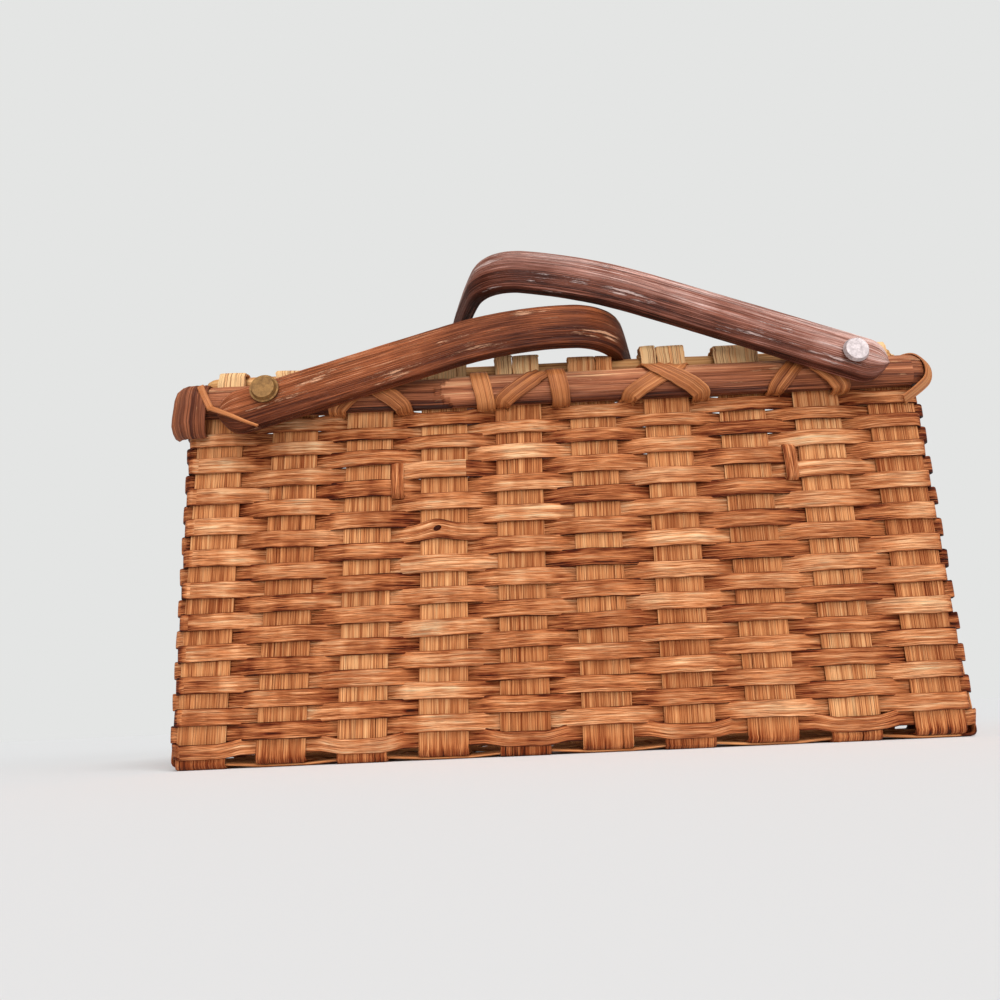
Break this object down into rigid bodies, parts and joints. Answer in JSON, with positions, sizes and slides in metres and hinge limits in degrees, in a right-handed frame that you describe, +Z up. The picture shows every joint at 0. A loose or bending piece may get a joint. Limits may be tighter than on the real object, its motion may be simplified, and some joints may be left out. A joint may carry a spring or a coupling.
{
  "type": "picnic basket",
  "caption": "Open rectangular woven splint basket with a lashed bentwood rim and two riveted bentwood swing handles that cross over its mouth.",
  "frame": {"origin": "on the floor under the middle of the basket", "axes": "+X along the long walls towards the right handle's rivets, +Y from the front wall to the back wall, +Z up"},
  "size_m": [0.3744, 0.2676, 0.2452],
  "materials": {
    "stake_splint": "satin",
    "weaver_splint": "satin",
    "outer_rim_wood": "satin",
    "inner_rim_wood": "satin",
    "lashing_splint": "satin",
    "left_handle_wood": "satin",
    "right_handle_wood": "satin",
    "left_brass": "worn",
    "right_metal": "worn"
  },
  "bodies": {
    "basket": {"cross_stake_01": "stake_splint", "cross_stake_02": "stake_splint", "cross_stake_03": "stake_splint", "cross_stake_04": "stake_splint", "cross_stake_05": "stake_splint", "cross_stake_06": "stake_splint", "cross_stake_07": "stake_splint", "cross_stake_08": "stake_splint", "cross_stake_09": "stake_splint", "cross_stake_10": "stake_splint", "long_stake_01": "stake_splint", "long_stake_02": "stake_splint", "long_stake_03": "stake_splint", "long_stake_04": "stake_splint", "long_stake_05": "stake_splint", "long_stake_06": "stake_splint", "weaver_row_01": "weaver_splint", "weaver_row_02": "weaver_splint", "weaver_row_03": "weaver_splint", "weaver_row_04": "weaver_splint", "weaver_row_05": "weaver_splint", "weaver_row_06": "weaver_splint", "weaver_row_07": "weaver_splint", "weaver_row_08": "weaver_splint", "weaver_row_09": "weaver_splint", "weaver_row_10": "weaver_splint", "weaver_row_11": "weaver_splint", "weaver_row_12": "weaver_splint", "weaver_row_13": "weaver_splint", "weaver_row_14": "weaver_splint", "weaver_row_15": "weaver_splint", "weaver_row_16": "weaver_splint", "weaver_row_17": "weaver_splint", "weaver_row_18": "weaver_splint", "weaver_row_19": "weaver_splint", "weaver_row_20": "weaver_splint", "weaver_row_21": "weaver_splint", "weaver_row_22": "weaver_splint", "outer_rim": "outer_rim_wood", "inner_rim": "inner_rim_wood", "front_lashing": "lashing_splint", "back_lashing": "lashing_splint", "left_lashing": "lashing_splint", "right_lashing": "lashing_splint", "left_tie": "lashing_splint", "right_tie": "lashing_splint", "left_rivets": "left_brass", "left_washers": "left_brass", "right_rivets": "right_metal"},
    "left_handle": {"left_handle": "left_handle_wood"},
    "right_handle": {"right_handle": "right_handle_wood"}
  },
  "joints": [
    {"name": "right_handle_swing", "type": "hinge", "parent": "basket", "child": "right_handle", "pos_m": [0.1423, 0, 0.17415], "axis": [0, 1, 0], "range_deg": [0, 215]},
    {"name": "left_handle_swing", "type": "hinge", "parent": "basket", "child": "left_handle", "pos_m": [-0.1347, 0, 0.16915], "axis": [0, -1, 0], "range_deg": [0, 150.5]}
  ],
  "couplings": [
    {"joint": "left_handle_swing", "follows": "right_handle_swing", "ratio": 0.7}
  ]
}
